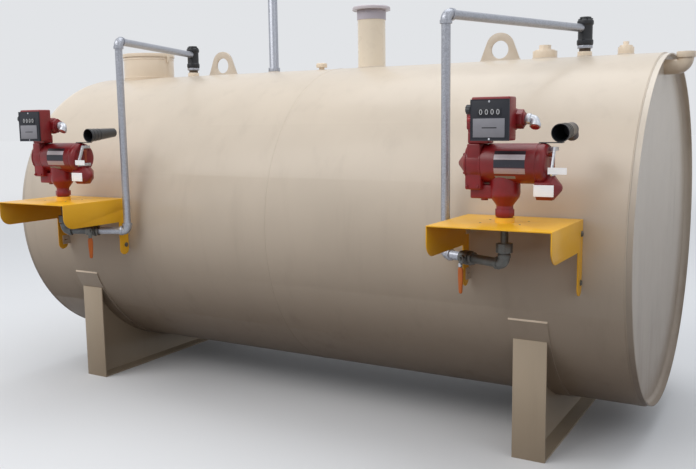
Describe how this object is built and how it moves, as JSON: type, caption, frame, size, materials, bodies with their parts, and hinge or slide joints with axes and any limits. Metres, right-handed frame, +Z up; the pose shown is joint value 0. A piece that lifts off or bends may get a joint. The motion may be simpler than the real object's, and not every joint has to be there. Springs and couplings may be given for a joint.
{
  "type": "horizontal fuel storage tank on saddles with transfer pumps",
  "caption": "Horizontal cylindrical steel fuel tank on saddles, with flanged heads, top fittings, tall vent pipe, and transfer pumps with meters on bracket shelves.",
  "frame": {"origin": "on the ground, under the middle of the rolled shell", "axes": "+X along the tank towards the end with the vent elbow, -Y towards the pumps, +Z up"},
  "size_m": [3.993, 2.3124, 3.672],
  "materials": {
    "tank_paint": "glossy cream enamel with dust and rust streaks",
    "galvanised": "dull galvanised pipe",
    "pipe_iron": "dark zinc-coated malleable iron",
    "valve_black": "black paint on cast iron",
    "valve_brass": "nickel-plated ball valve body",
    "lever_orange": "dipped vinyl grip on a zinc plated lever",
    "shelf_yellow": "glossy yellow enamel",
    "pump_red": "semi-gloss red powder coat",
    "meter_black": "black moulded plastic",
    "outlet_zinc": "bright zinc plated elbow",
    "boot_black": "black moulded nozzle holder",
    "hook_steel": "bright plated steel strap",
    "toggle_orange": "orange moulded lever"
  },
  "bodies": {
    "tank": {"shell": "tank_paint", "head_left": "tank_paint", "head_right": "tank_paint", "wear_pads": "tank_paint", "saddle_left": "tank_paint", "saddle_right": "tank_paint", "lifting_lugs": "tank_paint", "spill_box": "tank_paint", "emergency_vent_riser": "tank_paint", "vent_pipe": "galvanised", "vent_pipe_cap": "galvanised", "gauge_cap": "tank_paint", "inspection_fitting": "tank_paint", "spare_fitting": "tank_paint", "head_vent_elbow": "tank_paint", "suction_couplings": "tank_paint", "shelf_lugs": "tank_paint", "suction_valve_left": "valve_black", "crossover_pipe_left": "galvanised", "drop_pipe_left": "galvanised", "supply_run_left": "pipe_iron", "ball_valve_left": "valve_brass", "pump_shelf_left": "shelf_yellow", "pump_casing_left": "pump_red", "pump_motor_left": "pump_red", "switch_box_left": "pump_red", "meter_body_left": "pump_red", "meter_face_left": "meter_black", "outlet_elbow_left": "outlet_zinc", "nozzle_boot_left": "boot_black", "nozzle_hook_left": "hook_steel", "suction_valve_right": "valve_black", "crossover_pipe_right": "galvanised", "drop_pipe_right": "galvanised", "supply_run_right": "pipe_iron", "ball_valve_right": "valve_brass", "pump_shelf_right": "shelf_yellow", "pump_casing_right": "pump_red", "pump_motor_right": "pump_red", "switch_box_right": "pump_red", "meter_body_right": "pump_red", "meter_face_right": "meter_black", "outlet_elbow_right": "outlet_zinc", "nozzle_boot_right": "boot_black", "nozzle_hook_right": "hook_steel"},
    "valve_lever_left": {"valve_lever_left": "lever_orange"},
    "valve_lever_right": {"valve_lever_right": "lever_orange"},
    "spill_box_lid": {"spill_box_lid": "tank_paint"},
    "emergency_vent_cap": {"emergency_vent_cap": "tank_paint"},
    "reset_knob_left": {"reset_knob_left": "meter_black"},
    "reset_knob_right": {"reset_knob_right": "meter_black"},
    "switch_lever_left": {"switch_lever_left": "toggle_orange"},
    "switch_lever_right": {"switch_lever_right": "toggle_orange"}
  },
  "joints": [
    {"name": "valve_lever_left_turn", "type": "hinge", "parent": "tank", "child": "valve_lever_left", "pos_m": [-1.0889, -1.1218, 1.018], "axis": [-0.3883, 0.9215, 0], "range_deg": [0, 90]},
    {"name": "valve_lever_right_turn", "type": "hinge", "parent": "tank", "child": "valve_lever_right", "pos_m": [1.23824, -1.09842, 1.018], "axis": [-0.4056, -0.914, 0], "range_deg": [0, 90]},
    {"name": "spill_box_lid_hinge", "type": "hinge", "parent": "tank", "child": "spill_box_lid", "pos_m": [-1.811, 0, 2.123], "axis": [0, -1, 0], "range_deg": [0, 100]},
    {"name": "emergency_vent_lift", "type": "slide", "parent": "tank", "child": "emergency_vent_cap", "axis": [0, 0, 1], "range_m": [0, 0.038]},
    {"name": "reset_knob_left_turn", "type": "hinge", "parent": "tank", "child": "reset_knob_left", "pos_m": [-1.35, -1.34, 1.678], "axis": [1, 0, 0], "continuous": true},
    {"name": "reset_knob_right_turn", "type": "hinge", "parent": "tank", "child": "reset_knob_right", "pos_m": [1.372, -1.34, 1.678], "axis": [1, 0, 0], "continuous": true},
    {"name": "switch_lever_left_turn", "type": "hinge", "parent": "tank", "child": "switch_lever_left", "pos_m": [-1.074, -1.154, 1.49], "axis": [1, 0, 0], "range_deg": [0, 60]},
    {"name": "switch_lever_right_turn", "type": "hinge", "parent": "tank", "child": "switch_lever_right", "pos_m": [1.648, -1.154, 1.49], "axis": [1, 0, 0], "range_deg": [0, 60]}
  ]
}
